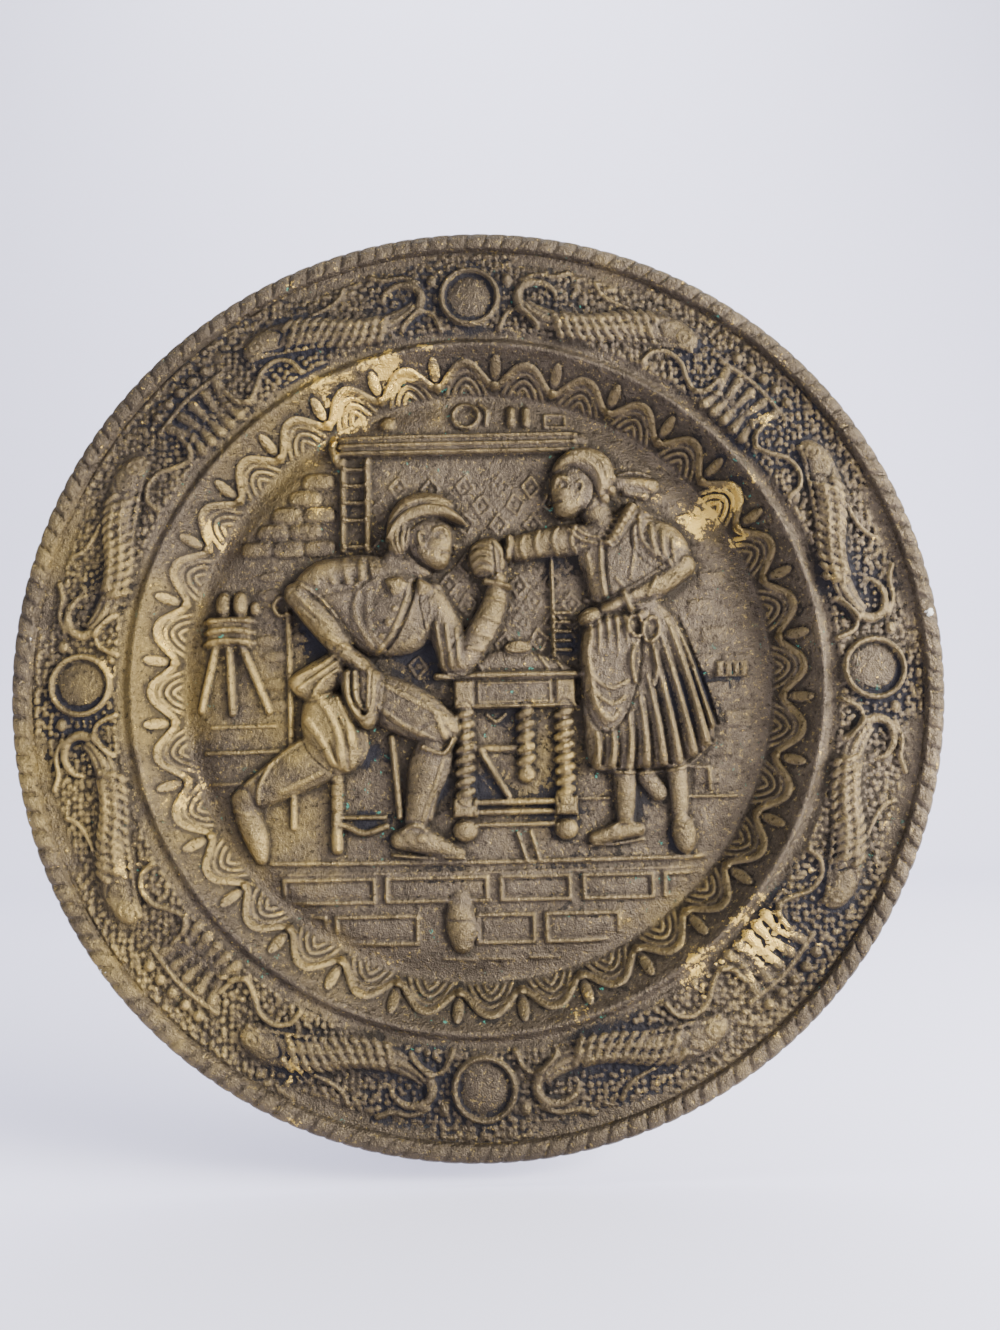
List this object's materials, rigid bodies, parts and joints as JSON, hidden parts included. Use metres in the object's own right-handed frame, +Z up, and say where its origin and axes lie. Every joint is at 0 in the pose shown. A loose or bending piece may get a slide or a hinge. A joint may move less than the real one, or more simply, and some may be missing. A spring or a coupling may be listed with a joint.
{
  "type": "pressed brass wall plate",
  "caption": "Round pressed brass wall plate with a rope rim, a dolphin border and a tavern scene in relief, hung by a wire bail on its back.",
  "frame": {"origin": "the underside of the hanging bail's crown, where a wall hook carries the plate", "axes": "+Z up, +Y from the front towards the wall, +X to the right as the plate is looked at"},
  "size_m": [0.3, 0.0178, 0.3],
  "materials": {
    "aged_brass": "aged, with brown patina, dark residue in the hollows and bright worn spots",
    "bail_brass": "dull drawn wire"
  },
  "bodies": {
    "root": {"plate": "aged_brass", "hanging_bail": "bail_brass"}
  },
  "joints": []
}
